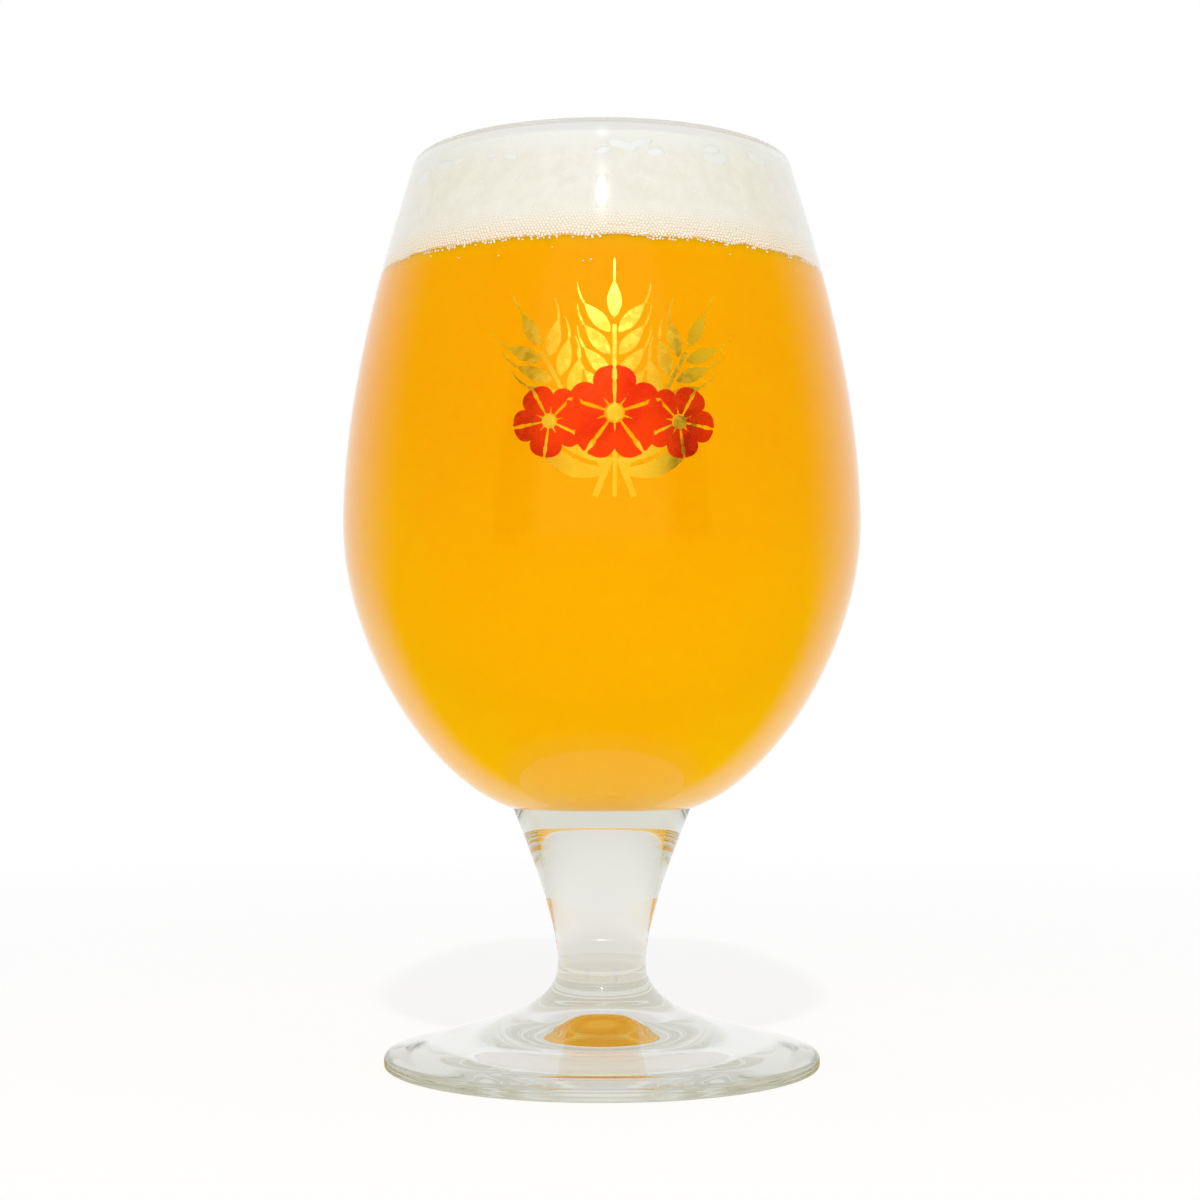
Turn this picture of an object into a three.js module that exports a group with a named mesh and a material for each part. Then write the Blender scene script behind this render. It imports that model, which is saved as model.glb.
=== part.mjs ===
// Globe beer glass: a thin blown globe bowl on a short drawn stem and a pressed round foot.
// The three pieces of glass share one axis and meet at two flat welds.
// Millimetres, +Z up, with the origin at the centre of the plane that the glass stands on.
import * as THREE from 'three';

// Foot
const FOOT_DIAMETER = 69.5;
const FOOT_HEIGHT = 16; // from the standing plane to the weld at the waist
const FOOT_CORNER_RADIUS = 0.4; // the lower corner of the edge
const FOOT_BAND = 0.7; // the upright part of the edge
const FOOT_EDGE_RADIUS = 1; // the rounded upper part of the edge
const FOOT_EDGE_SLOPE = 15.6; // degrees that the top falls where it meets the rounded edge
const STANDING_RING_WIDTH = 6.5; // the flat ring that touches the table
const HOLLOW_HEIGHT = 2.8; // the shallow hollow under the foot
const HOLLOW_FALL = 7; // degrees that it falls where it meets the standing ring
const DOME_DIAMETER = 25; // the low dome in the middle of that hollow
const DOME_RISE = 2;

// Stem
const WAIST_DIAMETER = 14.2; // the narrowest place, where stem and foot are welded
const STEM_LENGTH = 24.875; // from weld to weld
const STEM_TOP_DIAMETER = 28.8;
const STEM_FLARE = 22.5; // degrees from the axis at the upper weld

// Bowl
const BOWL_HEIGHT = 104.125; // from the weld to the top of the rim
const BELLY_DIAMETER = 83.5;
const BELLY_RISE = 45.6; // the widest place, above the weld
const MOUTH_DIAMETER = 61.7;
const RIM_LEAN = 14.5; // degrees that the wall leans in at the rim
const WELD_LIP = 0.8; // how far the bowl's base stands out past the stem
const BASE_LEAN = 68.5; // degrees from the axis where the globe meets its base
const RIM_WALL = 1.6;
const BELLY_WALL = 1.7;
const BASE_WALL = 3; // the floor's thickness on the axis

// How far each curve runs along its end tangents, as a share of the curve's own height or reach
const PULL = {
  dome: 0.45,
  hollowDome: 0.4,
  hollowRing: 0.3,
  footNeck: 0.51,
  footEdge: 0.68,
  stemWaist: 0.2,
  stemFlare: 0.48,
  globeBase: 0.55,
  globeUnder: 0.41,
  globeOver: 0.43,
  globeRim: 0.11,
  hollowFloor: 0.64,
  hollowUnder: 0.48,
};

const SEGMENTS = 64; // round the axis

const GLASS = new THREE.MeshStandardMaterial({
  color: 0xe9ecea,
  roughness: 0.05,
  metalness: 0,
  transparent: true,
  opacity: 0.35,
});

// An outline is drawn in a half plane: x is the distance from the axis and y the height.
const at = (radius, height) => new THREE.Vector2(radius, height);

const UP = at(0, 1);
const DOWN = at(0, -1);
const INWARD = at(-1, 0);
const OUTWARD = at(1, 0);

// The direction that rises at an angle from the axis, away from it where the angle is positive.
function rising(degrees) {
  const angle = THREE.MathUtils.degToRad(degrees);
  return at(Math.sin(angle), Math.cos(angle));
}

// A smooth curve that leaves one point and reaches the next along the directions given.
function sweep(start, leaving, startPull, end, arriving, endPull) {
  const startHandle = start.clone().addScaledVector(leaving, startPull);
  const endHandle = end.clone().addScaledVector(arriving, -endPull);
  return new THREE.CubicBezierCurve(start, startHandle, endHandle, end);
}

function line(start, end) {
  return new THREE.LineCurve(start, end);
}

// Part of a circle, anticlockwise, with its angles in degrees from the outward direction.
function arc(centre, radius, startDegrees, endDegrees) {
  const [start, end] = [startDegrees, endDegrees].map(THREE.MathUtils.degToRad);
  return new THREE.EllipseCurve(centre.x, centre.y, radius, radius, start, end);
}

// Revolves an outline of [curve, steps] stretches, listed from the bottom of the axis round to its top.
function revolve(stretches) {
  const points = stretches.flatMap(([curve, steps]) => curve.getPoints(steps).slice(0, -1));
  const lastCurve = stretches.at(-1)[0];
  points.push(lastCurve.getPoint(1));
  return new THREE.LatheGeometry(points, SEGMENTS).rotateX(Math.PI / 2);
}

function glassPiece(name, height, stretches) {
  const piece = new THREE.Mesh(revolve(stretches), GLASS);
  piece.name = name;
  piece.position.z = height;
  return piece;
}

// The foot: a hollow underside with a low dome, a flat standing ring, an upright edge and a top that sweeps up to the neck.
function makeFoot() {
  const radius = FOOT_DIAMETER / 2;
  const corner = arc(at(radius - FOOT_CORNER_RADIUS, FOOT_CORNER_RADIUS), FOOT_CORNER_RADIUS, -90, 0);
  const bandTop = at(radius, FOOT_CORNER_RADIUS + FOOT_BAND);
  const edge = arc(at(radius - FOOT_EDGE_RADIUS, bandTop.y), FOOT_EDGE_RADIUS, 0, 90 - FOOT_EDGE_SLOPE);

  const ringOuter = corner.getPoint(0);
  const ringInner = at(ringOuter.x - STANDING_RING_WIDTH, 0);
  const domeEdge = at(DOME_DIAMETER / 2, HOLLOW_HEIGHT);
  const dome = sweep(
    at(0, HOLLOW_HEIGHT + DOME_RISE), OUTWARD, PULL.dome * domeEdge.x,
    domeEdge, OUTWARD, PULL.dome * domeEdge.x,
  );
  const hollow = sweep(
    domeEdge, OUTWARD, PULL.hollowDome * (ringInner.x - domeEdge.x),
    ringInner, rising(90 + HOLLOW_FALL), PULL.hollowRing * (ringInner.x - domeEdge.x),
  );

  const topEdge = edge.getPoint(1);
  const neck = at(WAIST_DIAMETER / 2, FOOT_HEIGHT);
  const top = sweep(
    topEdge, rising(FOOT_EDGE_SLOPE - 90), PULL.footEdge * (topEdge.x - neck.x),
    neck, UP, PULL.footNeck * (neck.y - topEdge.y),
  );
  return glassPiece('foot', 0, [
    [dome, 7],
    [hollow, 5],
    [line(ringInner, ringOuter), 1],
    [corner, 3],
    [line(corner.getPoint(1), bandTop), 1],
    [edge, 5],
    [top, 11],
    [line(neck, at(0, FOOT_HEIGHT)), 1],
  ]);
}

// The stem: from its waist it flares up to the base of the bowl.
function makeStem() {
  const waist = at(WAIST_DIAMETER / 2, 0);
  const top = at(STEM_TOP_DIAMETER / 2, STEM_LENGTH);
  const side = sweep(
    waist, UP, PULL.stemWaist * STEM_LENGTH,
    top, rising(STEM_FLARE), PULL.stemFlare * STEM_LENGTH,
  );
  return glassPiece('stem', FOOT_HEIGHT, [
    [line(at(0, 0), waist), 1],
    [side, 12],
    [line(top, at(0, STEM_LENGTH)), 1],
  ]);
}

// The bowl: the outside of the globe, its fire-polished rim, and the hollow inside it.
function makeBowl() {
  const bellyToRim = BOWL_HEIGHT - BELLY_RISE;
  const rimRadius = RIM_WALL / 2;
  const rim = arc(at(MOUTH_DIAMETER / 2 - rimRadius, BOWL_HEIGHT - rimRadius), rimRadius, RIM_LEAN, 180 + RIM_LEAN);

  const base = at(STEM_TOP_DIAMETER / 2 + WELD_LIP, 0);
  const belly = at(BELLY_DIAMETER / 2, BELLY_RISE);
  const under = sweep(
    base, rising(BASE_LEAN), PULL.globeBase * (belly.x - base.x),
    belly, UP, PULL.globeUnder * BELLY_RISE,
  );
  const over = sweep(
    belly, UP, PULL.globeOver * bellyToRim,
    rim.getPoint(0), rising(-RIM_LEAN), PULL.globeRim * bellyToRim,
  );

  const floor = at(0, BASE_WALL);
  const hollowBelly = at(belly.x - BELLY_WALL, BELLY_RISE);
  const hollowOver = sweep(
    rim.getPoint(1), rising(180 - RIM_LEAN), PULL.globeRim * bellyToRim,
    hollowBelly, DOWN, PULL.globeOver * bellyToRim,
  );
  const hollowUnder = sweep(
    hollowBelly, DOWN, PULL.hollowUnder * (BELLY_RISE - BASE_WALL),
    floor, INWARD, PULL.hollowFloor * hollowBelly.x,
  );
  return glassPiece('bowl', FOOT_HEIGHT + STEM_LENGTH, [
    [line(at(0, 0), base), 1],
    [under, 11],
    [over, 11],
    [rim, 5],
    [hollowOver, 10],
    [hollowUnder, 11],
  ]);
}

const glass = new THREE.Group();
glass.name = 'globe_beer_glass';
glass.add(makeFoot(), makeStem(), makeBowl());

export default glass;
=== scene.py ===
"""A globe beer glass full of beer: clear glass, hazy beer, a head of foam and a gold and red print."""
import math
import random

import bmesh
import bpy
import numpy as np
from mathutils import Matrix, Vector, noise


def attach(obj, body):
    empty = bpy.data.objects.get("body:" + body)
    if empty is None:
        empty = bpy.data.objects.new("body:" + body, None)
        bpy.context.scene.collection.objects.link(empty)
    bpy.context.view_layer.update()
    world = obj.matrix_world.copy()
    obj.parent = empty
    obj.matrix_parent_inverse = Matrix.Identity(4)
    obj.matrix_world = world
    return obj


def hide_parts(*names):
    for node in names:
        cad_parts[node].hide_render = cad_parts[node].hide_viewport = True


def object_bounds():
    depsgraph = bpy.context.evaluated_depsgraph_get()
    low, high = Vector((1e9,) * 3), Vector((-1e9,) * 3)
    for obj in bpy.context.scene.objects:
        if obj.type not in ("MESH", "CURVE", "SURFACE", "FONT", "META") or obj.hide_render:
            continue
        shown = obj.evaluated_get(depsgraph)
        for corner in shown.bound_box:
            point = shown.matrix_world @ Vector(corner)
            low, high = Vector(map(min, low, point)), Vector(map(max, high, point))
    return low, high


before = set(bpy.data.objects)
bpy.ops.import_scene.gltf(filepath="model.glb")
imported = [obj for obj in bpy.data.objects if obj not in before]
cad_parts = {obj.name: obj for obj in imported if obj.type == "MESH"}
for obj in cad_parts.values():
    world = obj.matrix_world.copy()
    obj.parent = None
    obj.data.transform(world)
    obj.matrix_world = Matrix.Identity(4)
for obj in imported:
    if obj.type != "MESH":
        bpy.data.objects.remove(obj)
cad_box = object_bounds()

MM = 0.001
FULL_TURN = 2 * math.pi
WHITE = (1.0, 1.0, 1.0, 1.0)
BLACK = (0.0, 0.0, 0.0, 1.0)

# Steps round the axis, and the spacing of points along the outlines
GLASS_SEGMENTS = 240
BEER_SEGMENTS = 192
FOAM_SEGMENTS = 720
GLASS_SPACING = 1.2 * MM
HOLLOW_SPACING = 0.6 * MM
OUTSIDE_SPACING = 0.5 * MM
SHARP_EDGE = math.radians(40)  # edges that turn by more than this stay sharp
TOUCHING = 1e-6  # points closer than this are one
ON_PLANE = 1e-7

# The glass
WELD_GAP = 0.02 * MM  # the trace that the weld under the bowl has left in the glass
GLASS_IOR = 1.5
# painted shade: the rim's glass is greyed, not a tint the glass has
GLASS_RIM_PAINTED_SHADE = (0.95, 0.95, 0.94, 1.0)
GLASS_SHADOW = (0.93, 0.94, 0.93, 1.0)  # how much light one wall lets through
GLASS_DEPTH = (0.75, 0.77, 0.68, 1.0)  # the tint of thick glass
GLASS_DENSITY = 14.0
GLASS_RIM_FADE = (-0.8 * MM, 0.4 * MM)  # where the rim's painted grey shade comes in, from the top of the foam's wall
DRAW_MARKS = (420.0, 420.0, 60.0)  # how close together the marks lie, longest up the glass
DRAW_MARK_DEPTH = (0.004, 0.05)  # at the beer line and at the rim
DRAW_MARK_ROUGHNESS = 0.012

# The beer
BEER_LINE = 126.0 * MM  # above the standing plane
BEER_SEAT = 0.05 * MM  # how far the beer's skin lies in the wall, so that no air shows between them
BEER_LOW = ((0.98, 0.435, 0.0, 1.0), (0.985, 0.45, 0.0, 1.0))  # clearer and hazier
BEER_HIGH = ((0.915, 0.385, 0.0, 1.0), (0.92, 0.40, 0.0, 1.0))
# painted light: a lighter beer colour just under the foam, against the shade the foam casts
BEER_PAINTED_LIGHT_UNDER_FOAM = (0.955, 0.42, 0.0, 1.0)
BEER_FADE = (55 * MM, 115 * MM)  # the heights between which the low colour goes over into the high one
BEER_FOAM_FADE = 3 * MM  # how far below its line the beer is painted lighter, against the shade the foam casts on it
BEER_SPREAD = (0.7, 0.6, 0.15)  # how far red, green and blue light spreads, as shares of the scale
BEER_SPREAD_SCALE = 3 * MM

# The head of foam
FOAM_CONTACT = 143.0 * MM  # where the foam meets the wall under the rim, above the standing plane
FOAM_CROWN = 1.1 * MM  # how far the middle of the foam stands above that
FOAM_DIP = 0.7 * MM  # how far the foam sinks just inside the wall
FOAM_DIP_AT = 0.93  # as a share of the way out to the wall
FOAM_DIP_WIDTH = 0.05
FOAM_CLIMB = 40  # how steeply it climbs the wall beyond that dip
FOAM_SEAT = 0.10 * MM  # how far the foam lies in the wall
FOAM_LAP = 1.0 * MM  # how far the beer goes up behind the foam
FOAM_RINGS = 48
FOAM_RIPPLE = 3 * MM  # how far above the beer line the foam's ragged edge still shows
EDGE_WAVES = ((0.30 * MM, 9.0), (0.16 * MM, 60.0))  # how high, and how close together
TOP_WAVES = ((0.22 * MM, 160.0), (0.10 * MM, 420.0))
BUBBLE_SPACING = 0.53 * MM
BUBBLES_AROUND = 406
WALL_LEAN = math.radians(14)  # how far the wall leans in behind the foam
FOAM_CREAM = (0.84, 0.815, 0.755, 1.0)
FOAM_SHADE = (0.79, 0.76, 0.69, 1.0)
FOAM_GREY_UNDER_RIM = (0.82, 0.82, 0.79, 1.0)  # greyer, on the wall in the 4 mm under the foam's top
FOAM_BUBBLE = (0.92, 0.90, 0.84, 1.0)  # the wet bubbles on the beer
FOAM_GAP_LOW = (0.86, 0.36, 0.02, 1.0)  # the beer between them
FOAM_GAP_HIGH = (0.79, 0.55, 0.32, 1.0)
# painted light: the beer's orange along the foam's lowest edge, brightened to hide the shade under the
# foam's corner
FOAM_EDGE_PAINTED_LIGHT = (1.0, 0.52, 0.06, 1.0)
FOAM_SPREAD = (1.0, 0.8, 0.5)
FOAM_SPREAD_SCALE = 0.4 * MM

# Single bubbles
EDGE_ROWS = ((-0.30, 0.35), (0.08, 0.8), (0.5, 0.5))  # millimetres above the beer line, and how crowded
EDGE_RADII = (0.17, 0.27)  # millimetres, as for the next ones
STRAY_BUBBLES = 36
STRAY_RADII = (0.09, 0.2)
STRAY_DEPTH = 5 * MM  # how far below the beer line they go
TOP_BUBBLES = 520
TOP_REACH = 0.985  # as a share of the way out to the wall
SPECKS = 620
SPECK_RADII = (0.07, 0.13)
SPECK_HEIGHTS = (2.5, 16.0)  # above the beer line
FILMS = 34
FILM_DEPTHS = (1.2, 4.8)  # below the top of the foam's wall
FILM_HALF_WIDTHS = (0.7, 2.4)
FILM_SHAPES = (0.35, 0.6)  # height over width
FILM_LEAN = 0.4  # radians
FILM_THICKNESS = 0.12 * MM
BUBBLE_SKIN = (0.95, 0.93, 0.87, 1.0)
TOP_BUBBLE_SKIN = (0.89, 0.87, 0.81, 1.0)
FILM_SKIN = (0.80, 0.805, 0.785, 1.0)
# painted on the lower sides of bubbles near the beer: the beer seen in them, over their shade
BUBBLE_PAINTED_UNDERSIDE = (0.92, 0.55, 0.15, 1.0)

# The print on the front of the bowl
PRINT_HEIGHT = 105.5 * MM  # its middle, above the standing plane
PRINT_RIGHT = 1.8 * MM  # its middle, right of the glass's own
PRINT_LIFT = 0.02 * MM
PRINT_THICKNESS = 0.03 * MM
PRINT_LAYER = 0.004 * MM  # strokes that overlap lie this much above each other
PRINT_LAYERS = 7
GOLD = ((1.0, 0.70, 0.14, 1.0), (0.95, 0.60, 0.10, 1.0))  # fresh and rubbed
RED = ((0.95, 0.05, 0.004, 1.0), (0.80, 0.025, 0.003, 1.0))

# The print's motifs, in millimetres
STALK_HALF_WIDTH = 0.3
STALK_END = 1.2  # from the last pair of grains to the end of the stalk
EAR_STEP = 3.4  # from one pair of grains to the next
GRAIN_LENGTH = 5.9
GRAIN_HALF_WIDTH = 1.04
GRAIN_TILT = 40  # degrees from the stalk
GRAIN_OUT = 0.62  # from the middle of the stalk to a grain's root
TIP_GRAIN = 2.2  # from the last pair to the grain at the tip
AWN_LENGTH = 3.4
AWN_HALF_WIDTH = 0.2
LEAF_LENGTH = 14.5
LEAF_HALF_WIDTH = 2.8
STUB_HALF_WIDTH = 0.45
PETALS = 5

# The camera, from the photo's outline of the glass
CAMERA_BACK = 339.95 * MM
CAMERA_HEIGHT = 57.5 * MM
CAMERA_LEFT = 0.3 * MM
CAMERA_PITCH = 2.82  # degrees above level
CAMERA_LENS = 63.0  # millimetres
CAMERA_SENSOR = 36.0

# The lamps
WORLD_LIGHT = (0.63, 0.63, 0.63, 1.0)  # how bright the studio is all round
KEY_LIGHT = 2000.0  # how bright the lamp above the camera is in its middle
KEY_SIZE = (0.118, 0.064)
KEY_STEEPNESS = 28.0  # how fast it falls off
GLOW_LIGHT = 5.0  # the glow round the lamp
GLOW_SIZE = (0.30, 0.20)
KEY_PLACE = (0.0, -0.85, 0.956)
KEY_TARGET = (0.0, 0.0, 0.09)

# The floor, and what shows round the glass
FLOOR_GAP = 0.02 * MM  # the air under the standing ring
FLOOR_HALF = 4.0
FLOOR_BASE = (0.25, 0.25, 0.25, 1.0)  # what takes the shadow
FLOOR_NEAR = (0.77, 0.77, 0.77, 1.0)  # its own glow
FLOOR_FAR = (0.86, 0.86, 0.86, 1.0)
FLOOR_LIGHT = (1.06, 1.06, 1.06, 1.0)  # as a light on the beer and foam
FLOOR_IN_GLASS = (0.54, 0.53, 0.49, 1.0)  # seen through glass
HORIZON_IN_GLASS = (0.77, 0.765, 0.74, 1.0)
BACKDROP_IN_GLASS = (0.87, 0.87, 0.86, 1.0)
CEILING_IN_GLASS = (0.75, 0.75, 0.74, 1.0)
CARD_COLOUR = (1.0, 0.80, 0.12, 1.0)  # from here on, seen in reflections
SIDE_COLOUR = (0.75, 0.62, 0.03, 1.0)
DARK_COLOUR = (0.01, 0.01, 0.01, 1.0)
CEILING_COLOUR = (0.7, 0.7, 0.68, 1.0)
TABLE_COLOUR = (0.9, 0.74, 0.02, 1.0)
TABLE_NEAR = (0.64, 0.54, 0.2, 1.0)

# Where those go over into each other: by a direction's part to the side, to the back or up
CARD_EDGE = (0.40, 0.56)
CARD_BACK = (-0.5, -0.3)
SIDE_EDGE = (-0.72, -0.66)
BACK_EDGE = (0.1, 0.8)
TABLE_BACK = (0.25, 0.65)
HORIZON_EDGE = (0.05, 0.18)
CEILING_EDGE = (0.28, 0.5)
CEILING_MIRRORED_EDGE = (0.62, 0.85)

# And on the floor by the distance from the glass's axis, in metres
FLOOR_FADE = (0.1, 0.9)
TABLE_FADE = (0.036, 0.05)
TABLE_END = (0.15, 1.0)

# How often light is followed on, in all and through clear glass
LIGHT_BOUNCES = 32
GLASS_BOUNCES = 24

rng = random.Random(33)


# Outlines and solids of revolution

def outline_of(node):
    """A node's outline, as (radius, height) points from the bottom of its axis round to its top."""
    section = bmesh.new()
    section.from_mesh(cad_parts[node].data)
    bmesh.ops.remove_doubles(section, verts=section.verts, dist=TOUCHING)
    for normal, both in (((0, 1, 0), True), ((1, 0, 0), False)):
        everything = section.verts[:] + section.edges[:] + section.faces[:]
        bmesh.ops.bisect_plane(
            section, geom=everything, dist=ON_PLANE, plane_co=(0, 0, 0), plane_no=normal,
            clear_inner=True, clear_outer=both,
        )
    at = min((v for v in section.verts if abs(v.co.x) < TOUCHING), key=lambda v: v.co.z)
    path, seen = [], set()
    while at:
        path.append((max(at.co.x, 0.0), at.co.z))
        seen.add(at)
        beside = [e.other_vert(at) for e in at.link_edges]
        at = next((v for v in beside if v not in seen), None)
    section.free()
    return path


def through(points, spacing):
    """A smooth curve through an outline's points, with about the spacing given."""
    path = np.array(points)
    across = np.array((-1.0, 1.0))
    before = path[1] * across if path[0][0] < ON_PLANE else 2 * path[0] - path[1]
    after = path[-2] * across if path[-1][0] < ON_PLANE else 2 * path[-1] - path[-2]
    guides = np.vstack([before, path, after])
    curve = []
    for a, b, c, d in zip(guides, guides[1:], guides[2:], guides[3:]):
        first, middle, last = (math.sqrt(math.dist(p, q)) for p, q in ((a, b), (b, c), (c, d)))
        leave = middle * ((b - a) / first - (c - a) / (first + middle) + (c - b) / middle)
        reach = middle * ((c - b) / middle - (d - b) / (middle + last) + (d - c) / last)
        count = max(2, round(math.dist(b, c) / spacing))
        for t in np.linspace(0, 1, count, endpoint=False):
            square, cube = t * t, t * t * t
            curve.append(
                (2 * cube - 3 * square + 1) * b + (cube - 2 * square + t) * leave
                + (3 * square - 2 * cube) * c + (cube - square) * reach
            )
    curve.append(path[-1])
    curve = np.array(curve)
    return np.maximum(curve, 0.0)


def sunk(curve, depth):
    """A curve moved to its right by the depth: for one that climbs the hollow, into the wall."""
    ways = np.gradient(curve, axis=0)
    ways /= np.linalg.norm(ways, axis=1)[:, None]
    moved = curve + depth * np.stack([ways[:, 1], -ways[:, 0]], axis=1)
    return np.maximum(moved, 0.0)


def between(curve, low, high):
    """The stretch of a rising curve between two heights, with its ends at those heights."""
    inside = curve[(curve[:, 1] > low) & (curve[:, 1] < high)]
    ends = [(np.interp(h, curve[:, 1], curve[:, 0]), h) for h in (low, high)]
    return np.vstack([ends[0], inside, ends[1]])


def mesh_piece(name, verts, faces, material):
    """A smooth mesh that rides on the glass."""
    mesh = bpy.data.meshes.new(name)
    mesh.from_pydata(verts, [], faces)
    mesh.update()
    mesh.polygons.foreach_set("use_smooth", [True] * len(mesh.polygons))
    mesh.materials.append(material)
    piece = bpy.data.objects.new(name, mesh)
    bpy.context.scene.collection.objects.link(piece)
    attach(piece, "root")
    return piece


def revolved(outline, segments):
    """Vertices and faces of a closed solid whose outline starts and ends on the axis."""
    angles = np.arange(segments) * FULL_TURN / segments
    rings = outline[1:-1]
    ring_points = np.stack([
        np.outer(rings[:, 0], np.sin(angles)),
        np.outer(rings[:, 0], -np.cos(angles)),
        np.repeat(rings[:, 1:], segments, axis=1),
    ], axis=2).reshape(-1, 3)
    bottom, top = len(ring_points), len(ring_points) + 1
    verts = np.vstack([ring_points, (0, 0, outline[0][1]), (0, 0, outline[-1][1])])
    faces = []
    for j in range(segments):
        k = (j + 1) % segments
        faces.append((bottom, k, j))
        for i in range(len(rings) - 1):
            low, high = i * segments, (i + 1) * segments
            faces.append((low + j, low + k, high + k, high + j))
        last = (len(rings) - 1) * segments
        faces.append((last + j, last + k, top))
    return verts, faces


# Node materials

def new_material(name):
    """An empty node material and its Principled shader, already joined to the output."""
    made = bpy.data.materials.new(name)
    made.use_nodes = True
    return made, made.node_tree.nodes["Principled BSDF"]


def node(tree, kind, settings=None, **inputs):
    """A new node with its settings, and values or links for its inputs by name."""
    made = tree.nodes.new(kind)
    for key, value in (settings or {}).items():
        setattr(made, key, value)
    for key, value in inputs.items():
        join(tree, made.inputs[key.replace("_", " ")], value)
    return made


def join(tree, socket, value):
    """Links a node's first output or a given output to a socket, or sets the socket's own value."""
    if isinstance(value, bpy.types.Node):
        tree.links.new(value.outputs[0], socket)
    elif isinstance(value, bpy.types.NodeSocket):
        tree.links.new(value, socket)
    else:
        socket.default_value = value


def math_node(tree, operation, first, second=0.0, third=0.0):
    """One sum on numbers or outputs."""
    made = tree.nodes.new("ShaderNodeMath")
    made.operation = operation
    for socket, value in zip(made.inputs, (first, second, third)):
        join(tree, socket, value)
    return made.outputs[0]


def span(tree, value, low, high, start=0.0, end=1.0):
    """A value's run from low to high, eased and mapped to a run from start to end."""
    made = tree.nodes.new("ShaderNodeMapRange")
    made.interpolation_type = "SMOOTHSTEP"
    for socket, number in zip(made.inputs, (value, low, high, start, end)):
        join(tree, socket, number)
    return made.outputs[0]


def mixed(tree, share, first, second):
    """One colour going over into another by a share."""
    made = tree.nodes.new("ShaderNodeMix")
    made.data_type = "RGBA"
    for key, value in (("Factor_Float", share), ("A_Color", first), ("B_Color", second)):
        socket = next(s for s in made.inputs if s.identifier == key)
        join(tree, socket, value)
    return next(s for s in made.outputs if s.identifier == "Result_Color")


def place_and_height(tree):
    """The object's own coordinates, and their height."""
    place = tree.nodes.new("ShaderNodeTexCoord").outputs["Object"]
    parts = node(tree, "ShaderNodeSeparateXYZ", Vector=place)
    return place, parts.outputs["Z"]


def glass_material():
    """Clear soda glass, a little grey-green in its depth, with faint draw marks and a rim painted grey as
    painted shade. Lamps shine through it.
    """
    made, shader = new_material("clear_glass")
    tree = made.node_tree
    place, height = place_and_height(tree)
    # painted shade: the glass turns grey from just under the foam's top up over the rim
    rim = span(tree, height, *(FOAM_CONTACT + edge for edge in GLASS_RIM_FADE))
    join(tree, shader.inputs["Base Color"], mixed(tree, rim, WHITE, GLASS_RIM_PAINTED_SHADE))
    shader.inputs["Transmission Weight"].default_value = 1.0
    shader.inputs["IOR"].default_value = GLASS_IOR
    stretched = node(tree, "ShaderNodeMapping", Vector=place, Scale=DRAW_MARKS)
    marks = node(tree, "ShaderNodeTexNoise", Vector=stretched.outputs[0], Scale=1.0, Detail=2.0)
    near_rim = span(tree, height, BEER_LINE, cad_box[1].z, *DRAW_MARK_DEPTH)
    waves = node(tree, "ShaderNodeBump", Strength=near_rim, Distance=0.3 * MM, Height=marks.outputs[0])
    join(tree, shader.inputs["Normal"], waves)
    join(tree, shader.inputs["Roughness"], span(tree, marks.outputs[0], 0.3, 0.7, 0.0, DRAW_MARK_ROUGHNESS))

    path = tree.nodes.new("ShaderNodeLightPath")
    through_glass = node(tree, "ShaderNodeBsdfTransparent", Color=GLASS_SHADOW)
    lamps = math_node(tree, "MAXIMUM", path.outputs["Is Shadow Ray"], path.outputs["Is Diffuse Ray"])
    both = tree.nodes.new("ShaderNodeMixShader")
    join(tree, both.inputs[0], lamps)
    join(tree, both.inputs[1], shader)
    join(tree, both.inputs[2], through_glass)
    depth = node(tree, "ShaderNodeVolumeAbsorption", Color=GLASS_DEPTH, Density=GLASS_DENSITY)
    output = tree.nodes["Material Output"]
    join(tree, output.inputs["Surface"], both)
    join(tree, output.inputs["Volume"], depth)
    return made


def beer_material():
    """Hazy golden beer, through which light spreads, with drifts of haze, deeper higher up, and painted
    lighter just under the foam, against the shade the foam casts.
    """
    made, shader = new_material("beer")
    tree = made.node_tree
    place, height = place_and_height(tree)
    haze = node(tree, "ShaderNodeTexNoise", Vector=place, Scale=45.0, Detail=3.0, Roughness=0.5)
    drift = span(tree, haze.outputs[0], 0.3, 0.7)
    low = mixed(tree, drift, *BEER_LOW)
    high = mixed(tree, drift, *BEER_HIGH)
    body = mixed(tree, span(tree, height, *BEER_FADE), low, high)
    # painted light: the beer turns lighter over the last few millimetres under the foam, against the foam's
    # shade
    painted_light_under_foam = span(tree, height, BEER_LINE - BEER_FOAM_FADE, BEER_LINE)
    join(tree, shader.inputs["Base Color"], mixed(tree, painted_light_under_foam, body, BEER_PAINTED_LIGHT_UNDER_FOAM))
    shader.inputs["Subsurface Weight"].default_value = 1.0
    shader.inputs["Subsurface Radius"].default_value = BEER_SPREAD
    shader.inputs["Subsurface Scale"].default_value = BEER_SPREAD_SCALE
    shader.inputs["Roughness"].default_value = 1.0
    shader.inputs["Specular IOR Level"].default_value = 0.0
    return made


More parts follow.
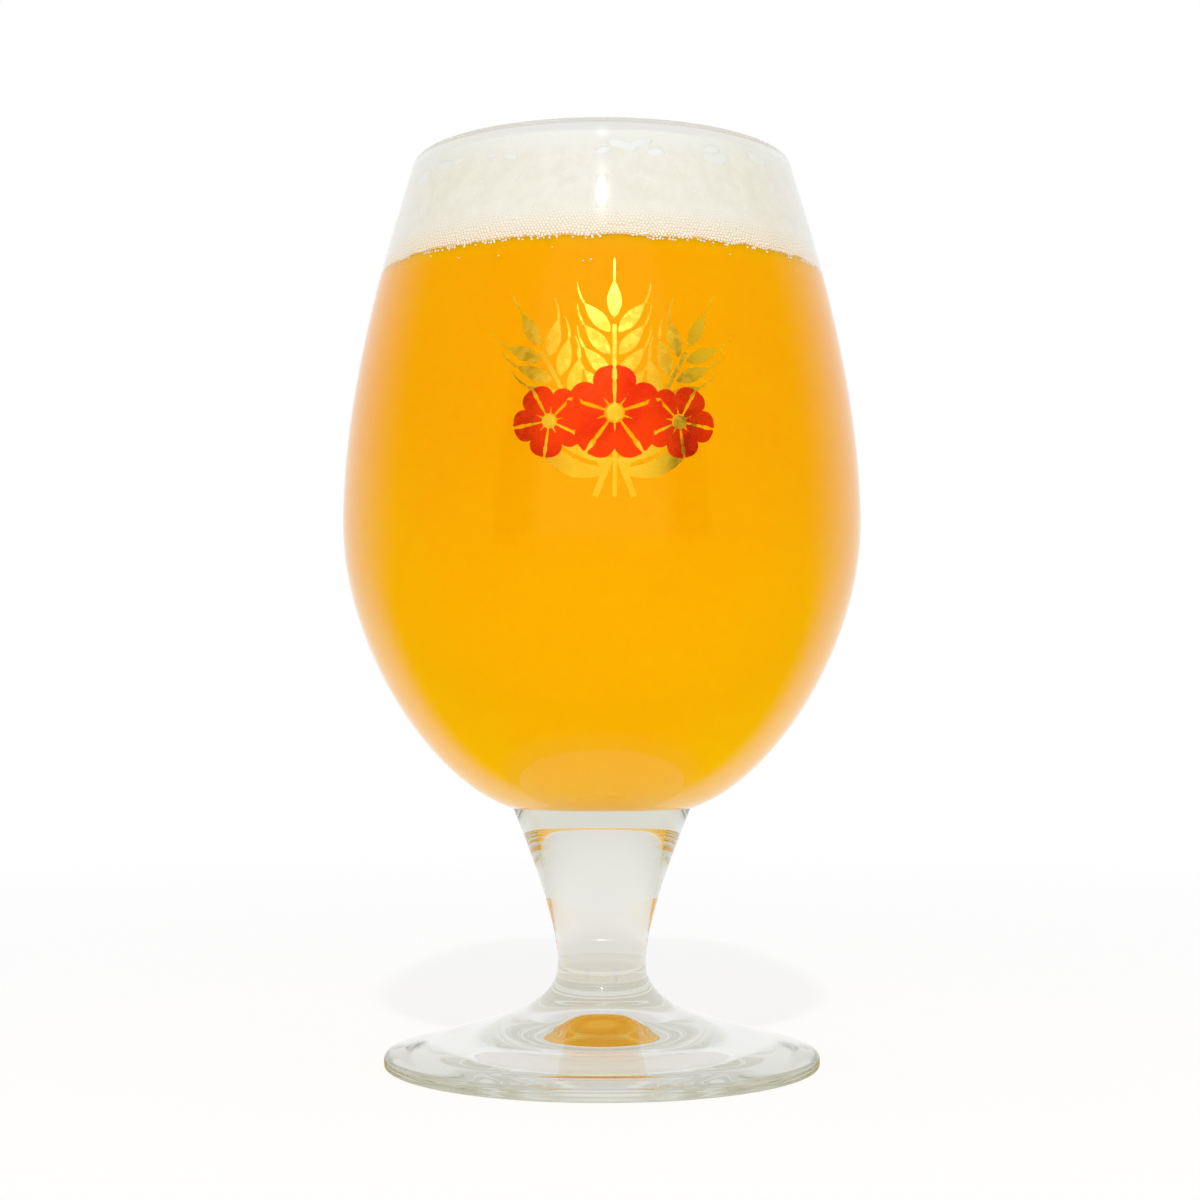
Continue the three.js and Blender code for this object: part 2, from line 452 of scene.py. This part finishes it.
def bubble_rows(tree, place, height):
    """How near a point of the wall is to the middle of a bubble: 0 there, about 0.5 between bubbles."""
    parts = node(tree, "ShaderNodeSeparateXYZ", Vector=place)
    away = math_node(tree, "MULTIPLY", parts.outputs["Y"], -1.0)
    angle = math_node(tree, "ARCTAN2", parts.outputs["X"], away)
    crowd = node(tree, "ShaderNodeTexNoise", Vector=place, Scale=0.4 / BUBBLE_SPACING, Detail=1.0)
    stray = node(tree, "ShaderNodeSeparateColor", Color=crowd.outputs["Color"])
    across = math_node(tree, "MULTIPLY_ADD", angle, BUBBLES_AROUND / FULL_TURN, stray.outputs["Red"])
    rows = math_node(tree, "MULTIPLY", height, 1 / (math.sqrt(3) * BUBBLE_SPACING))
    rows = math_node(tree, "ADD", rows, stray.outputs["Green"])
    nearest = None
    for offset in (0.0, 0.5):
        aside = math_node(tree, "FRACT", math_node(tree, "ADD", across, offset))
        aside = math_node(tree, "SUBTRACT", aside, 0.5)
        above = math_node(tree, "FRACT", math_node(tree, "ADD", rows, offset))
        above = math_node(tree, "MULTIPLY", math_node(tree, "SUBTRACT", above, 0.5), math.sqrt(3))
        square = math_node(tree, "MULTIPLY_ADD", aside, aside, math_node(tree, "MULTIPLY", above, above))
        apart = math_node(tree, "SQRT", square)
        nearest = math_node(tree, "MINIMUM", nearest, apart) if nearest else apart
    return nearest


def foam_finish(shader):
    """Matt, with a little light spreading below the skin."""
    shader.inputs["Subsurface Weight"].default_value = 0.3
    shader.inputs["Subsurface Radius"].default_value = FOAM_SPREAD
    shader.inputs["Subsurface Scale"].default_value = FOAM_SPREAD_SCALE
    shader.inputs["Roughness"].default_value = 0.6
    shader.inputs["Specular IOR Level"].default_value = 0.2


def foam_material():
    """Fine bubbles: cream where they are dry, in wet rows on the beer, greyer on the wall under the rim,
    and painted bright orange along the lowest edge to hide the shade there.
    """
    made, shader = new_material("foam")
    tree = made.node_tree
    place, height = place_and_height(tree)
    cream = node(tree, "ShaderNodeTexNoise", Vector=place, Scale=420.0, Detail=6.0, Roughness=0.65)
    patches = span(tree, cream.outputs[0], 0.3, 0.7)
    dry = mixed(tree, patches, FOAM_SHADE, FOAM_CREAM)
    facing = tree.nodes.new("ShaderNodeNewGeometry").outputs["Normal"]
    upward = node(tree, "ShaderNodeSeparateXYZ", Vector=facing).outputs["Z"]
    on_wall_only = span(tree, upward, 0.3, 0.7, 1.0, 0.0)
    # greyer on the wall in the last 4 mm under the foam's top
    under_rim = span(tree, height, FOAM_CONTACT - 4 * MM, FOAM_CONTACT)
    thin = math_node(tree, "MULTIPLY", under_rim, on_wall_only)
    dry = mixed(tree, thin, dry, FOAM_GREY_UNDER_RIM)
    rise = node(tree, "ShaderNodeAttribute", {"attribute_name": "rise"}).outputs["Fac"]
    near_line = span(tree, rise, 0.0, 1.1 * MM)
    gaps = mixed(tree, near_line, FOAM_GAP_LOW, FOAM_GAP_HIGH)
    gaps = mixed(tree, span(tree, rise, 0.5 * MM, 5.5 * MM), gaps, dry)
    distance = bubble_rows(tree, place, rise)
    bubble = span(tree, distance, 0.27, 0.5, 1.0, 0.0)
    skin = mixed(tree, span(tree, rise, 0.0, 7 * MM), FOAM_BUBBLE, dry)
    shown = mixed(tree, bubble, gaps, skin)
    # painted light on the lowest edge: beer orange, bright enough to hide the shade there
    edge = span(tree, rise, 0.05 * MM, 0.3 * MM)
    join(tree, shader.inputs["Base Color"], mixed(tree, edge, FOAM_EDGE_PAINTED_LIGHT, shown))
    raised = node(tree, "ShaderNodeBump", Strength=0.2, Distance=0.1 * MM, Height=bubble)
    join(tree, shader.inputs["Normal"], raised)
    foam_finish(shader)
    return made


def bubble_material(name, skin):
    """Single bubbles: pale above, and near the beer painted orange on their lower sides, a painted glow of
    the beer seen in them over their shaded undersides.
    """
    made, shader = new_material(name)
    tree = made.node_tree
    height = place_and_height(tree)[1]
    facing = tree.nodes.new("ShaderNodeNewGeometry").outputs["Normal"]
    upward = node(tree, "ShaderNodeSeparateXYZ", Vector=facing).outputs["Z"]
    wet = span(tree, height, BEER_LINE + 3 * MM, BEER_LINE)
    # painted light and shade by facing: near the beer, the downward sides turn orange
    below = math_node(tree, "MULTIPLY", span(tree, upward, -0.75, 0.0, 1.0, 0.0), wet)
    join(tree, shader.inputs["Base Color"], mixed(tree, below, skin, BUBBLE_PAINTED_UNDERSIDE))
    shader.inputs["Roughness"].default_value = 0.5
    shader.inputs["Specular IOR Level"].default_value = 0.3
    return made


def print_material(name, fresh, rubbed, metallic):
    """A fired metallic print: satin, dappled, and a little rubbed."""
    made, shader = new_material(name)
    tree = made.node_tree
    place = tree.nodes.new("ShaderNodeTexCoord").outputs["Object"]
    dapple = node(tree, "ShaderNodeTexNoise", Vector=place, Scale=900.0, Detail=4.0)
    wear = node(tree, "ShaderNodeTexNoise", Vector=place, Scale=140.0, Detail=2.0)
    share = span(tree, wear.outputs[0], 0.45, 0.7)
    join(tree, shader.inputs["Base Color"], mixed(tree, share, fresh, rubbed))
    join(tree, shader.inputs["Roughness"], span(tree, dapple.outputs[0], 0.3, 0.7, 0.2, 0.32))
    shader.inputs["Metallic"].default_value = metallic
    grain = node(tree, "ShaderNodeBump", Strength=0.07, Distance=0.05 * MM, Height=dapple.outputs[0])
    join(tree, shader.inputs["Normal"], grain)
    return made


# The glass: the foot runs into the stem, and the bowl is set on it at a weld that still shows

foot, stem, bowl = (outline_of(name) for name in ("foot", "stem", "bowl"))


def make_glass():
    """The bowl, and the stem with its foot."""
    finish = glass_material()
    weld = stem[-1][1] - WELD_GAP
    side = through(foot[:-1] + stem[2:-1], GLASS_SPACING)
    side[-1][1] = weld
    stand_verts, stand_faces = revolved(np.vstack([side, (0.0, weld)]), GLASS_SEGMENTS)
    stand = mesh_piece("glass_stem_and_foot", stand_verts, stand_faces, finish)
    cup_verts, cup_faces = revolved(np.vstack([bowl[0], through(bowl[1:], GLASS_SPACING)]), GLASS_SEGMENTS)
    cup = mesh_piece("glass_bowl", cup_verts, cup_faces, finish)
    for piece in (stand, cup):
        piece.data.set_sharp_from_angle(angle=SHARP_EDGE)
    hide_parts("stem", "foot")
    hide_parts("bowl")


make_glass()

rim_at = max(range(len(bowl)), key=lambda i: bowl[i][1])
hollow = through(bowl[rim_at:], HOLLOW_SPACING)[::-1]  # from the floor up to the rim
outside = through(bowl[1:rim_at], OUTSIDE_SPACING)  # from the weld up to the rim


# The beer

def make_beer():
    """The beer fills the hollow up to its line, and goes up a little behind the foam."""
    top = BEER_LINE + FOAM_LAP
    wet_wall = between(sunk(hollow, BEER_SEAT), hollow[0][1], top)
    floor = (0.0, hollow[0][1] - BEER_SEAT)
    curve = np.vstack([floor, wet_wall[1:], (0.0, top)])
    verts, faces = revolved(curve, BEER_SEGMENTS)
    mesh_piece("beer", verts, faces, beer_material())


make_beer()


# The foam

foam_wall = between(sunk(hollow, FOAM_SEAT), BEER_LINE, FOAM_CONTACT)


def ragged(angle):
    """How far the foam's lower edge strays from the beer line at an angle."""
    around = Vector((math.sin(angle), -math.cos(angle), 0.0))
    return sum(high * noise.noise(around * crowding) for high, crowding in EDGE_WAVES)


def foam_top(share):
    """The height of the foam's top, from the middle at 0 to the wall at 1."""
    crown = FOAM_CROWN * (1 - share ** 2)
    dip = FOAM_DIP * math.exp(-((share - FOAM_DIP_AT) / FOAM_DIP_WIDTH) ** 2)
    return FOAM_CONTACT + crown - dip * (1 - share ** FOAM_CLIMB)


def make_foam():
    """The head of foam, from a ragged edge on the beer line to a soft crown below the rim."""
    reach = foam_wall[-1][0]
    shares = np.linspace(1, 0, FOAM_RINGS)[1:]
    top = np.array([(reach * s, foam_top(s)) for s in shares])
    inside = (foam_wall[0][0] - 2 * MM, BEER_LINE + FOAM_LAP / 2)
    curve = np.vstack([(0.0, inside[1]), inside, foam_wall, top])
    verts, faces = revolved(curve, FOAM_SEGMENTS)
    rises = verts[:, 2] - BEER_LINE
    for v in verts:
        radius = math.hypot(v[0], v[1])
        if radius > foam_wall[0][0] - MM and v[2] < BEER_LINE + FOAM_RIPPLE:
            v[2] += ragged(math.atan2(v[0], -v[1])) * (1 - (v[2] - BEER_LINE) / FOAM_RIPPLE)
        elif v[2] > FOAM_CONTACT - FOAM_DIP and radius < 0.97 * reach:
            v[2] += sum(high * noise.noise(Vector(v) * crowding) for high, crowding in TOP_WAVES)
    made = mesh_piece("foam", verts, faces, foam_material())
    made.data.attributes.new("rise", "FLOAT", "POINT").data.foreach_set("value", rises)


make_foam()


def bubbles(name, spots, material):
    """Round bubbles in one mesh, from (centre, radius) spots."""
    ball = bmesh.new()
    bmesh.ops.create_icosphere(ball, subdivisions=2, radius=1.0)
    unit = np.array([v.co for v in ball.verts])
    unit_faces = np.array([[v.index for v in f.verts] for f in ball.faces])
    ball.free()
    verts = np.vstack([unit * radius + centre for centre, radius in spots])
    faces = np.vstack([unit_faces + i * len(unit) for i in range(len(spots))])
    mesh_piece(name, verts.tolist(), faces.tolist(), material)


def on_wall(angle, height, depth):
    """A point at an angle and height, this far inside the hollow's wall."""
    radius = np.interp(height, hollow[:, 1], hollow[:, 0]) - depth
    return np.array((radius * math.sin(angle), -radius * math.cos(angle), height))


def edge_spots():
    """Bubbles pressed against the wall along the foam's lower edge, in rows, and a few strays below it."""
    spots = []
    for row, share in EDGE_ROWS:
        angle = rng.random() * 0.01
        while angle < FULL_TURN:
            radius = rng.uniform(*EDGE_RADII) * MM
            crowd = share * (1 + 0.8 * noise.noise(Vector((8 * angle, row, 0.5))))
            if rng.random() < crowd:
                height = BEER_LINE + ragged(angle) + (row + rng.uniform(-0.08, 0.08)) * MM
                spots.append((on_wall(angle, height, 0.8 * radius - FOAM_SEAT), radius))
            angle += 2.2 * radius / foam_wall[0][0]
    for _ in range(STRAY_BUBBLES):
        radius = rng.uniform(*STRAY_RADII) * MM
        height = BEER_LINE - rng.uniform(0.5, 1.0) * rng.random() * STRAY_DEPTH - 0.4 * MM
        spots.append((on_wall(rng.uniform(0, FULL_TURN), height, 0.3 * radius - BEER_SEAT), radius))
    return spots


def top_spots():
    """Bubbles on the foam's top, small in the middle and larger towards the wall."""
    spots = []
    reach = foam_wall[-1][0]
    for _ in range(TOP_BUBBLES):
        share = math.sqrt(rng.random()) * TOP_REACH
        angle = rng.uniform(0, FULL_TURN)
        radius = (0.16 + 0.55 * rng.random() ** 4 + 0.35 * share ** 12 * rng.random()) * MM
        out = share * reach
        height = foam_top(share) - 0.35 * radius
        spots.append((np.array((out * math.sin(angle), -out * math.cos(angle), height)), radius))
    return spots


def speck_spots():
    """Fine bright bubbles scattered over the foam's wall."""
    spots = []
    for _ in range(SPECKS):
        radius = rng.uniform(*SPECK_RADII) * MM
        height = BEER_LINE + rng.uniform(*SPECK_HEIGHTS) * MM
        spots.append((on_wall(rng.uniform(0, FULL_TURN), height, 0.5 * radius - FOAM_SEAT), radius))
    return spots


def make_films(material):
    """Large flat bubbles that cling to the wall under the rim."""
    ball = bmesh.new()
    for _ in range(FILMS):
        angle = rng.uniform(0, FULL_TURN)
        height = FOAM_CONTACT - rng.uniform(*FILM_DEPTHS) * MM
        width = rng.uniform(*FILM_HALF_WIDTHS) * MM
        tall = width * rng.uniform(*FILM_SHAPES)
        lean = Matrix.Rotation(rng.uniform(-FILM_LEAN, FILM_LEAN), 4, "Y")
        shape = Matrix.Diagonal((width, FILM_THICKNESS, tall, 1.0))
        seat = Matrix.Translation(on_wall(angle, height, 0.02 * MM - FOAM_SEAT))
        slope = Matrix.Rotation(-WALL_LEAN, 4, "X")
        bmesh.ops.create_uvsphere(
            ball, u_segments=20, v_segments=10, radius=1.0,
            matrix=seat @ Matrix.Rotation(angle, 4, "Z") @ slope @ lean @ shape,
        )
    ball.verts.index_update()
    verts = [tuple(v.co) for v in ball.verts]
    faces = [tuple(v.index for v in f.verts) for f in ball.faces]
    ball.free()
    mesh_piece("foam_films", verts, faces, material)


bubble_finish = bubble_material("foam_bubbles", BUBBLE_SKIN)
bubbles("foam_edge_bubbles", edge_spots(), bubble_finish)
bubbles("foam_top_bubbles", top_spots(), bubble_material("foam_top_bubbles", TOP_BUBBLE_SKIN))
bubbles("foam_specks", speck_spots(), bubble_finish)
make_films(bubble_material("foam_films", FILM_SKIN))


# The print: a sheaf of barley tied up with field flowers, in gold and red

along = np.concatenate([[0], np.cumsum(np.linalg.norm(np.diff(outside, axis=0), axis=1))])
print_middle = np.interp(PRINT_HEIGHT, outside[:, 1], along)


def wrapped(flat, lift):
    """A flat point of the print, in millimetres right of and above its middle, on the bowl's outside."""
    way = print_middle + flat[1] * MM
    radius, height = (np.interp(way, along, outside[:, k]) for k in (0, 1))
    ahead = [np.interp(way + 0.5 * MM, along, outside[:, k]) for k in (0, 1)]
    slope = math.atan2(ahead[1] - height, ahead[0] - radius)
    turn = (flat[0] * MM + PRINT_RIGHT) / radius
    radius += lift * math.sin(slope)
    return (radius * math.sin(turn), -radius * math.cos(turn), height - lift * math.cos(slope))


class Stencil:
    """Collects flat strokes and makes one thin closed piece of them on the bowl."""

    def __init__(self, layer):
        self.verts = []
        self.faces = []
        self.lift = PRINT_LIFT + layer * PRINT_THICKNESS
        self.strokes = 0

    def stroke(self, spine, half_widths, columns=5):
        """A ribbon along a spine of flat points, with a half width at each of them."""
        spine, half_widths = np.array(spine), np.array(half_widths)
        ways = np.gradient(spine, axis=0)
        ways /= np.linalg.norm(ways, axis=1)[:, None]
        sides = np.stack([-ways[:, 1], ways[:, 0]], axis=1)
        rows = len(spine)
        start = len(self.verts)
        under_side = self.lift + PRINT_LAYER * (self.strokes % PRINT_LAYERS)
        self.strokes += 1
        for lift in (under_side, under_side + PRINT_THICKNESS):
            for at, side, half in zip(spine, sides, half_widths):
                for share in np.linspace(-1, 1, columns):
                    self.verts.append(wrapped(at + side * half * share, lift))

        def under(i, j):
            return start + i * columns + j

        def over(i, j):
            return start + (rows + i) * columns + j

        for i in range(rows - 1):
            for j in range(columns - 1):
                self.faces.append((over(i, j), over(i, j + 1), over(i + 1, j + 1), over(i + 1, j)))
                self.faces.append((under(i, j), under(i + 1, j), under(i + 1, j + 1), under(i, j + 1)))
            for j, turned in ((0, False), (columns - 1, True)):
                side = (under(i, j), over(i, j), over(i + 1, j), under(i + 1, j))
                self.faces.append(side[::-1] if turned else side)
        for j in range(columns - 1):
            for i, turned in ((0, True), (rows - 1, False)):
                end = (under(i, j), over(i, j), over(i, j + 1), under(i, j + 1))
                self.faces.append(end[::-1] if turned else end)

    def piece(self, name, material, slot):
        """The strokes as one piece, with its faces outward and its edges sharp."""
        made = mesh_piece(name, self.verts, self.faces, material)
        bm = bmesh.new()
        bm.from_mesh(made.data)
        bmesh.ops.recalc_face_normals(bm, faces=bm.faces)
        bm.to_mesh(made.data)
        bm.free()
        made.data.set_sharp_from_angle(angle=SHARP_EDGE)
        made.visible_shadow = False  # the thin print hardly dims the hazy beer behind it
        made.visible_diffuse = False


def turned(point, degrees):
    """A flat point turned about the origin, anticlockwise."""
    angle = math.radians(degrees)
    x, y = point
    return np.array((x * math.cos(angle) - y * math.sin(angle), x * math.sin(angle) + y * math.cos(angle)))


def petal_width(share, fullness):
    """The half width along a leaf or grain, as a share of its widest, pointed at both ends."""
    return max(math.sin(math.pi * share ** fullness), 0.0) + 0.01


def barley_ear(gold, foot_at, lean, stalk, pairs):
    """One ear on its stalk, leaning clockwise by some degrees: pairs of grains, a last one and awns."""
    def place(point):
        return np.array(foot_at) + turned(point, -lean)

    shares = np.linspace(0, 1, 14)
    last = stalk + EAR_STEP * (pairs - 1)
    stem_line = [place((0.0, (last + STALK_END) * t)) for t in shares]
    gold.stroke(stem_line, [STALK_HALF_WIDTH] * len(shares), 3)
    grains = [(side, stalk + EAR_STEP * pair) for pair in range(pairs) for side in (-1, 1)]
    for side, height in grains + [(0, last + TIP_GRAIN)]:
        root = np.array((GRAIN_OUT * side, height))
        tilt = -GRAIN_TILT * side
        grain = [root + turned((0.0, GRAIN_LENGTH * t), tilt) for t in shares]
        gold.stroke([place(g) for g in grain], [GRAIN_HALF_WIDTH * petal_width(t, 0.8) for t in shares])
        awn = [grain[-1] + turned((0.0, AWN_LENGTH * t), tilt * (0.75 - 0.35 * t)) for t in shares]
        gold.stroke([place(a) for a in awn], [AWN_HALF_WIDTH * (1 - 0.7 * t) for t in shares], 3)


def leaf(gold, root, heading, length, curl):
    """A broad leaf in two halves along its rib, bending as it goes."""
    shares = np.linspace(0, 1, 18)
    for half in (1, -1):
        spine = []
        for t in shares:
            out = LEAF_HALF_WIDTH * half * (0.08 + 0.5 * petal_width(t, 0.8))
            bend = turned((0.0, length * t), heading + curl * t)
            spine.append(np.array(root) + bend + turned((out, 0.0), heading + 2 * curl * t))
        gold.stroke(spine, [0.46 * LEAF_HALF_WIDTH * petal_width(t, 0.8) for t in shares])


def blossom(red, eyes, middle, size, turn):
    """A field flower of five petals, each split by a fine vein, round a gold eye."""
    shares = np.linspace(0.2, 1, 16)
    for k in range(PETALS):
        heading = turn + k * 360 / PETALS
        for half in (1, -1):
            petal, widths = [], []
            for t in shares:
                out = math.sin(math.pi * min(t ** 1.8, 0.98))
                aside = half * size * (0.03 + 0.21 * out)
                petal.append(np.array(middle) + turned((aside, size * t), heading))
                widths.append(size * (0.012 + 0.195 * out))
            red.stroke(petal, widths)
    across = np.linspace(-1, 1, 12)
    eye = size * 0.17
    spine = [np.array(middle) + (eye * t, 0.0) for t in across]
    eyes.stroke(spine, [eye * math.sqrt(max(1 - t * t, 0.001)) for t in across])


def make_print():
    """Three ears over three flowers, with a leaf and a cut stalk on each side."""
    gold, red, eyes = Stencil(0), Stencil(3), Stencil(6)
    for side in (-1, 1):
        leaf(gold, (0.6 * side, -14.2), -88 * side, LEAF_LENGTH, 36 * side)
        barley_ear(gold, (1.2 * side, -15.5), 27 * side, 12.5, 3)
        stub = np.linspace(0, 1, 6)
        stub_line = [(side * (0.6 + 2.2 * t), -13.0 - 5.6 * t) for t in stub]
        gold.stroke(stub_line, [STUB_HALF_WIDTH] * len(stub), 3)
    barley_ear(gold, (0.0, -18.6), 0, 14.0, 4)
    blossom(red, eyes, (0.0, -6.5), 7.0, 0)
    blossom(red, eyes, (-9.4, -7.6), 5.3, 28)
    blossom(red, eyes, (9.4, -7.6), 5.3, -28)
    gold_finish = print_material("gold_print", *GOLD, metallic=1.0)
    red_finish = print_material("red_print", *RED, metallic=0.7)
    gold.piece("print_barley", gold_finish, "gold_print")
    red.piece("print_flowers", red_finish, "red_print")
    eyes.piece("print_flower_eyes", gold_finish, "gold_print")


make_print()


# The studio

def mirrored_studio(tree, sideways, backward):
    """What reflections show by where they look: a warm card in front, gaps, warm sides, a white back."""
    off_axis = math_node(tree, "ABSOLUTE", sideways)
    ahead = span(tree, off_axis, *CARD_EDGE, 1.0, 0.0)
    ahead = math_node(tree, "MULTIPLY", ahead, span(tree, backward, *CARD_BACK, 1.0, 0.0))
    beside = span(tree, backward, *SIDE_EDGE)
    behind = span(tree, backward, *BACK_EDGE)
    shown = mixed(tree, ahead, DARK_COLOUR, CARD_COLOUR)
    shown = mixed(tree, beside, shown, SIDE_COLOUR)
    return mixed(tree, behind, shown, WHITE)


def make_floor():
    """A plain pale floor that keeps the shadow of the glass."""
    mesh = bpy.data.meshes.new("floor")
    corners = [(-1, -1), (1, -1), (1, 1), (-1, 1)]
    verts = [(FLOOR_HALF * x, FLOOR_HALF * y, -FLOOR_GAP) for x, y in corners]
    mesh.from_pydata(verts, [], [(0, 1, 2, 3)])
    floor = bpy.data.objects.new("floor", mesh)
    bpy.context.scene.collection.objects.link(floor)
    made, shader = new_material("floor")
    tree = made.node_tree
    place = tree.nodes.new("ShaderNodeTexCoord").outputs["Object"]
    path = tree.nodes.new("ShaderNodeLightPath")
    mirror = math_node(tree, "SUBTRACT", path.outputs["Is Glossy Ray"], path.outputs["Is Transmission Ray"])
    mirror = math_node(tree, "MAXIMUM", mirror, 0.0)
    outward = node(tree, "ShaderNodeVectorMath", {"operation": "NORMALIZE"}, Vector=place)
    heading = node(tree, "ShaderNodeSeparateXYZ", Vector=outward).outputs
    distance = node(tree, "ShaderNodeVectorMath", {"operation": "LENGTH"}, Vector=place).outputs["Value"]
    far = span(tree, distance, *FLOOR_FADE)
    glow = mixed(tree, far, FLOOR_NEAR, FLOOR_FAR)
    glow = mixed(tree, path.outputs["Is Diffuse Ray"], glow, FLOOR_LIGHT)
    glow = mixed(tree, path.outputs["Is Transmission Ray"], glow, FLOOR_IN_GLASS)
    table = mixed(tree, span(tree, distance, *TABLE_FADE), TABLE_NEAR, TABLE_COLOUR)
    table = mixed(tree, span(tree, heading["Y"], *TABLE_BACK), table, WHITE)
    studio = mirrored_studio(tree, heading["X"], heading["Y"])
    mirrored = mixed(tree, span(tree, distance, *TABLE_END), table, studio)
    join(tree, shader.inputs["Base Color"], mixed(tree, mirror, FLOOR_BASE, BLACK))
    join(tree, shader.inputs["Emission Color"], mixed(tree, mirror, glow, mirrored))
    shader.inputs["Emission Strength"].default_value = 1.0
    shader.inputs["Roughness"].default_value = 1.0
    shader.inputs["Specular IOR Level"].default_value = 0.0
    mesh.materials.append(made)


def make_world():
    """White to the eye, dimmer overhead through glass, and an even light on everything."""
    world = bpy.data.worlds.new("studio")
    bpy.context.scene.world = world
    world.use_nodes = True
    tree = world.node_tree
    way = tree.nodes.new("ShaderNodeTexCoord").outputs["Generated"]
    parts = node(tree, "ShaderNodeSeparateXYZ", Vector=way)
    path = tree.nodes.new("ShaderNodeLightPath")
    level = span(tree, parts.outputs["Z"], *HORIZON_EDGE)
    overhead = span(tree, parts.outputs["Z"], *CEILING_EDGE)
    through_glass = mixed(tree, level, HORIZON_IN_GLASS, BACKDROP_IN_GLASS)
    through_glass = mixed(tree, overhead, through_glass, CEILING_IN_GLASS)
    mirrored = mirrored_studio(tree, parts.outputs["X"], parts.outputs["Y"])
    ceiling = span(tree, parts.outputs["Z"], *CEILING_MIRRORED_EDGE)
    mirrored = mixed(tree, ceiling, mirrored, CEILING_COLOUR)
    light = mixed(tree, path.outputs["Is Glossy Ray"], WORLD_LIGHT, mirrored)
    light = mixed(tree, path.outputs["Is Transmission Ray"], light, through_glass)
    light = mixed(tree, path.outputs["Is Camera Ray"], light, WHITE)
    join(tree, tree.nodes["Background"].inputs["Color"], light)


def area_lamp(name, size, radiance):
    """A lamp above the camera that faces the glass: its tree, and a spot's distance from its middle."""
    lamp = bpy.data.lights.new(name, "AREA")
    lamp.shape = "RECTANGLE"
    lamp.size, lamp.size_y = size
    lamp.energy = radiance * math.pi * lamp.size * lamp.size_y
    lamp.use_nodes = True
    tree = lamp.node_tree
    spot = tree.nodes.new("ShaderNodeNewGeometry").outputs["Parametric"]
    apart = node(tree, "ShaderNodeVectorMath", {"operation": "DISTANCE"}, Vector=spot)
    apart.inputs[1].default_value = (0.5, 0.5, 0.0)
    placed = bpy.data.objects.new(name, lamp)
    placed.location = KEY_PLACE
    placed.rotation_euler = (Vector(KEY_TARGET) - placed.location).to_track_quat("-Z", "Y").to_euler()
    bpy.context.scene.collection.objects.link(placed)
    return tree, apart.outputs["Value"]


def make_key():
    """The key lamp, brightest in its middle, and the faint glow round it."""
    tree, apart = area_lamp("key", KEY_SIZE, KEY_LIGHT)
    steep = math_node(tree, "MULTIPLY", math_node(tree, "MULTIPLY", apart, apart), -KEY_STEEPNESS)
    join(tree, tree.nodes["Emission"].inputs["Strength"], math_node(tree, "EXPONENT", steep))
    tree, apart = area_lamp("glow", GLOW_SIZE, GLOW_LIGHT)
    fall = span(tree, apart, 0.0, 0.5, 1.0, 0.0)
    join(tree, tree.nodes["Emission"].inputs["Strength"], math_node(tree, "MULTIPLY", fall, fall))


def make_camera():
    """The photo's view of the glass."""
    data = bpy.data.cameras.new("camera")
    data.lens = CAMERA_LENS
    data.sensor_width = CAMERA_SENSOR
    data.clip_start = 0.01
    camera = bpy.data.objects.new("camera", data)
    camera.location = (-CAMERA_LEFT, -CAMERA_BACK, CAMERA_HEIGHT)
    camera.rotation_euler = (math.radians(90 + CAMERA_PITCH), 0, 0)
    bpy.context.scene.collection.objects.link(camera)
    bpy.context.scene.camera = camera


make_floor()
make_world()
make_key()
make_camera()
bpy.context.scene.view_settings.view_transform = "Standard"
bounces = bpy.context.scene.cycles
bounces.max_bounces = LIGHT_BOUNCES
bounces.glossy_bounces = GLASS_BOUNCES
bounces.transmission_bounces = GLASS_BOUNCES
bounces.transparent_max_bounces = GLASS_BOUNCES
